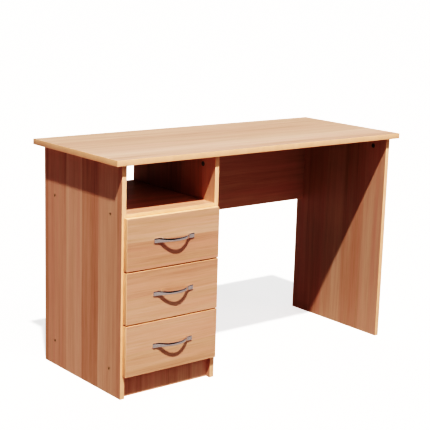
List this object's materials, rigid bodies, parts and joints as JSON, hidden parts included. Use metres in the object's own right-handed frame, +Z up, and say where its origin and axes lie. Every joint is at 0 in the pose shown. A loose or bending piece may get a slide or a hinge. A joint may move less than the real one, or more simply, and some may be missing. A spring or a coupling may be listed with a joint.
{
  "type": "writing desk with drawers",
  "caption": "Writing desk of laminated boards: worktop on side panels, an open niche above sliding drawers with bow handles at one end, and an open knee space beside them.",
  "frame": {"origin": "on the floor, under the middle of the whole desk's box, handles included", "axes": "+X to the right along the worktop, +Y from the drawer fronts to the back, +Z up"},
  "size_m": [1.2, 0.514, 0.75],
  "materials": {
    "laminate": "satin melamine laminate with a light beech grain, along the length of each board",
    "edge_band": "smooth satin, plain pale beech",
    "hardboard": "thin hardboard, smooth matt",
    "chrome_handle": "polished chrome",
    "zinc_fastener": "bright zinc",
    "runner_steel": "white epoxy coating",
    "nylon": "smooth matt white"
  },
  "bodies": {
    "desk": {"worktop": "laminate", "worktop_edge_bands": "edge_band", "left_side_panel": "laminate", "middle_side_panel": "laminate", "right_side_panel": "laminate", "panel_edge_bands": "edge_band", "niche_shelf": "laminate", "base_panel": "laminate", "kick_plate": "laminate", "modesty_panel": "laminate", "pedestal_back_panel": "hardboard", "confirmat_screws": "zinc_fastener", "worktop_cam_locks": "zinc_fastener", "worktop_cam_bolts": "zinc_fastener", "cabinet_runner_screws": "zinc_fastener", "bottom_cabinet_runner_left": "runner_steel", "bottom_cabinet_runner_right": "runner_steel", "middle_cabinet_runner_left": "runner_steel", "middle_cabinet_runner_right": "runner_steel", "top_cabinet_runner_left": "runner_steel", "top_cabinet_runner_right": "runner_steel"},
    "bottom_drawer": {"bottom_drawer_front": "laminate", "bottom_drawer_front_edge_bands": "edge_band", "bottom_drawer_left_side": "laminate", "bottom_drawer_right_side": "laminate", "bottom_drawer_back": "laminate", "bottom_drawer_bottom": "hardboard", "bottom_drawer_handle": "chrome_handle", "bottom_drawer_handle_screws": "zinc_fastener", "bottom_drawer_fasteners": "zinc_fastener", "bottom_drawer_left_runner": "runner_steel", "bottom_drawer_right_runner": "runner_steel"},
    "bottom_drawer_roller_pair": {"bottom_drawer_rollers": "nylon"},
    "bottom_cabinet_roller_pair": {"bottom_cabinet_rollers": "nylon"},
    "middle_drawer": {"middle_drawer_front": "laminate", "middle_drawer_front_edge_bands": "edge_band", "middle_drawer_left_side": "laminate", "middle_drawer_right_side": "laminate", "middle_drawer_back": "laminate", "middle_drawer_bottom": "hardboard", "middle_drawer_handle": "chrome_handle", "middle_drawer_handle_screws": "zinc_fastener", "middle_drawer_fasteners": "zinc_fastener", "middle_drawer_left_runner": "runner_steel", "middle_drawer_right_runner": "runner_steel"},
    "middle_drawer_roller_pair": {"middle_drawer_rollers": "nylon"},
    "middle_cabinet_roller_pair": {"middle_cabinet_rollers": "nylon"},
    "top_drawer": {"top_drawer_front": "laminate", "top_drawer_front_edge_bands": "edge_band", "top_drawer_left_side": "laminate", "top_drawer_right_side": "laminate", "top_drawer_back": "laminate", "top_drawer_bottom": "hardboard", "top_drawer_handle": "chrome_handle", "top_drawer_handle_screws": "zinc_fastener", "top_drawer_fasteners": "zinc_fastener", "top_drawer_left_runner": "runner_steel", "top_drawer_right_runner": "runner_steel"},
    "top_drawer_roller_pair": {"top_drawer_rollers": "nylon"},
    "top_cabinet_roller_pair": {"top_cabinet_rollers": "nylon"}
  },
  "joints": [
    {"name": "bottom_drawer_slide", "type": "slide", "parent": "desk", "child": "bottom_drawer", "axis": [0, -1, 0], "range_m": [0, 0.3]},
    {"name": "bottom_cabinet_roller_spin", "type": "hinge", "parent": "desk", "child": "bottom_cabinet_roller_pair", "pos_m": [-0.387, -0.2, 0.10785], "axis": [1, 0, 0], "continuous": true},
    {"name": "bottom_drawer_roller_spin", "type": "hinge", "parent": "bottom_drawer", "child": "bottom_drawer_roller_pair", "pos_m": [-0.387, 0.172, 0.10885], "axis": [1, 0, 0], "continuous": true},
    {"name": "middle_drawer_slide", "type": "slide", "parent": "desk", "child": "middle_drawer", "axis": [0, -1, 0], "range_m": [0, 0.3]},
    {"name": "middle_cabinet_roller_spin", "type": "hinge", "parent": "desk", "child": "middle_cabinet_roller_pair", "pos_m": [-0.387, -0.2, 0.27485], "axis": [1, 0, 0], "continuous": true},
    {"name": "middle_drawer_roller_spin", "type": "hinge", "parent": "middle_drawer", "child": "middle_drawer_roller_pair", "pos_m": [-0.387, 0.172, 0.27585], "axis": [1, 0, 0], "continuous": true},
    {"name": "top_drawer_slide", "type": "slide", "parent": "desk", "child": "top_drawer", "axis": [0, -1, 0], "range_m": [0, 0.3]},
    {"name": "top_cabinet_roller_spin", "type": "hinge", "parent": "desk", "child": "top_cabinet_roller_pair", "pos_m": [-0.387, -0.2, 0.44185], "axis": [1, 0, 0], "continuous": true},
    {"name": "top_drawer_roller_spin", "type": "hinge", "parent": "top_drawer", "child": "top_drawer_roller_pair", "pos_m": [-0.387, 0.172, 0.44285], "axis": [1, 0, 0], "continuous": true}
  ],
  "couplings": [
    {"joint": "bottom_cabinet_roller_spin", "follows": "bottom_drawer_slide", "rad_per_m": 119.76},
    {"joint": "bottom_drawer_roller_spin", "follows": "bottom_drawer_slide", "rad_per_m": 106.95},
    {"joint": "middle_cabinet_roller_spin", "follows": "middle_drawer_slide", "rad_per_m": 119.76},
    {"joint": "middle_drawer_roller_spin", "follows": "middle_drawer_slide", "rad_per_m": 106.95},
    {"joint": "top_cabinet_roller_spin", "follows": "top_drawer_slide", "rad_per_m": 119.76},
    {"joint": "top_drawer_roller_spin", "follows": "top_drawer_slide", "rad_per_m": 106.95}
  ]
}
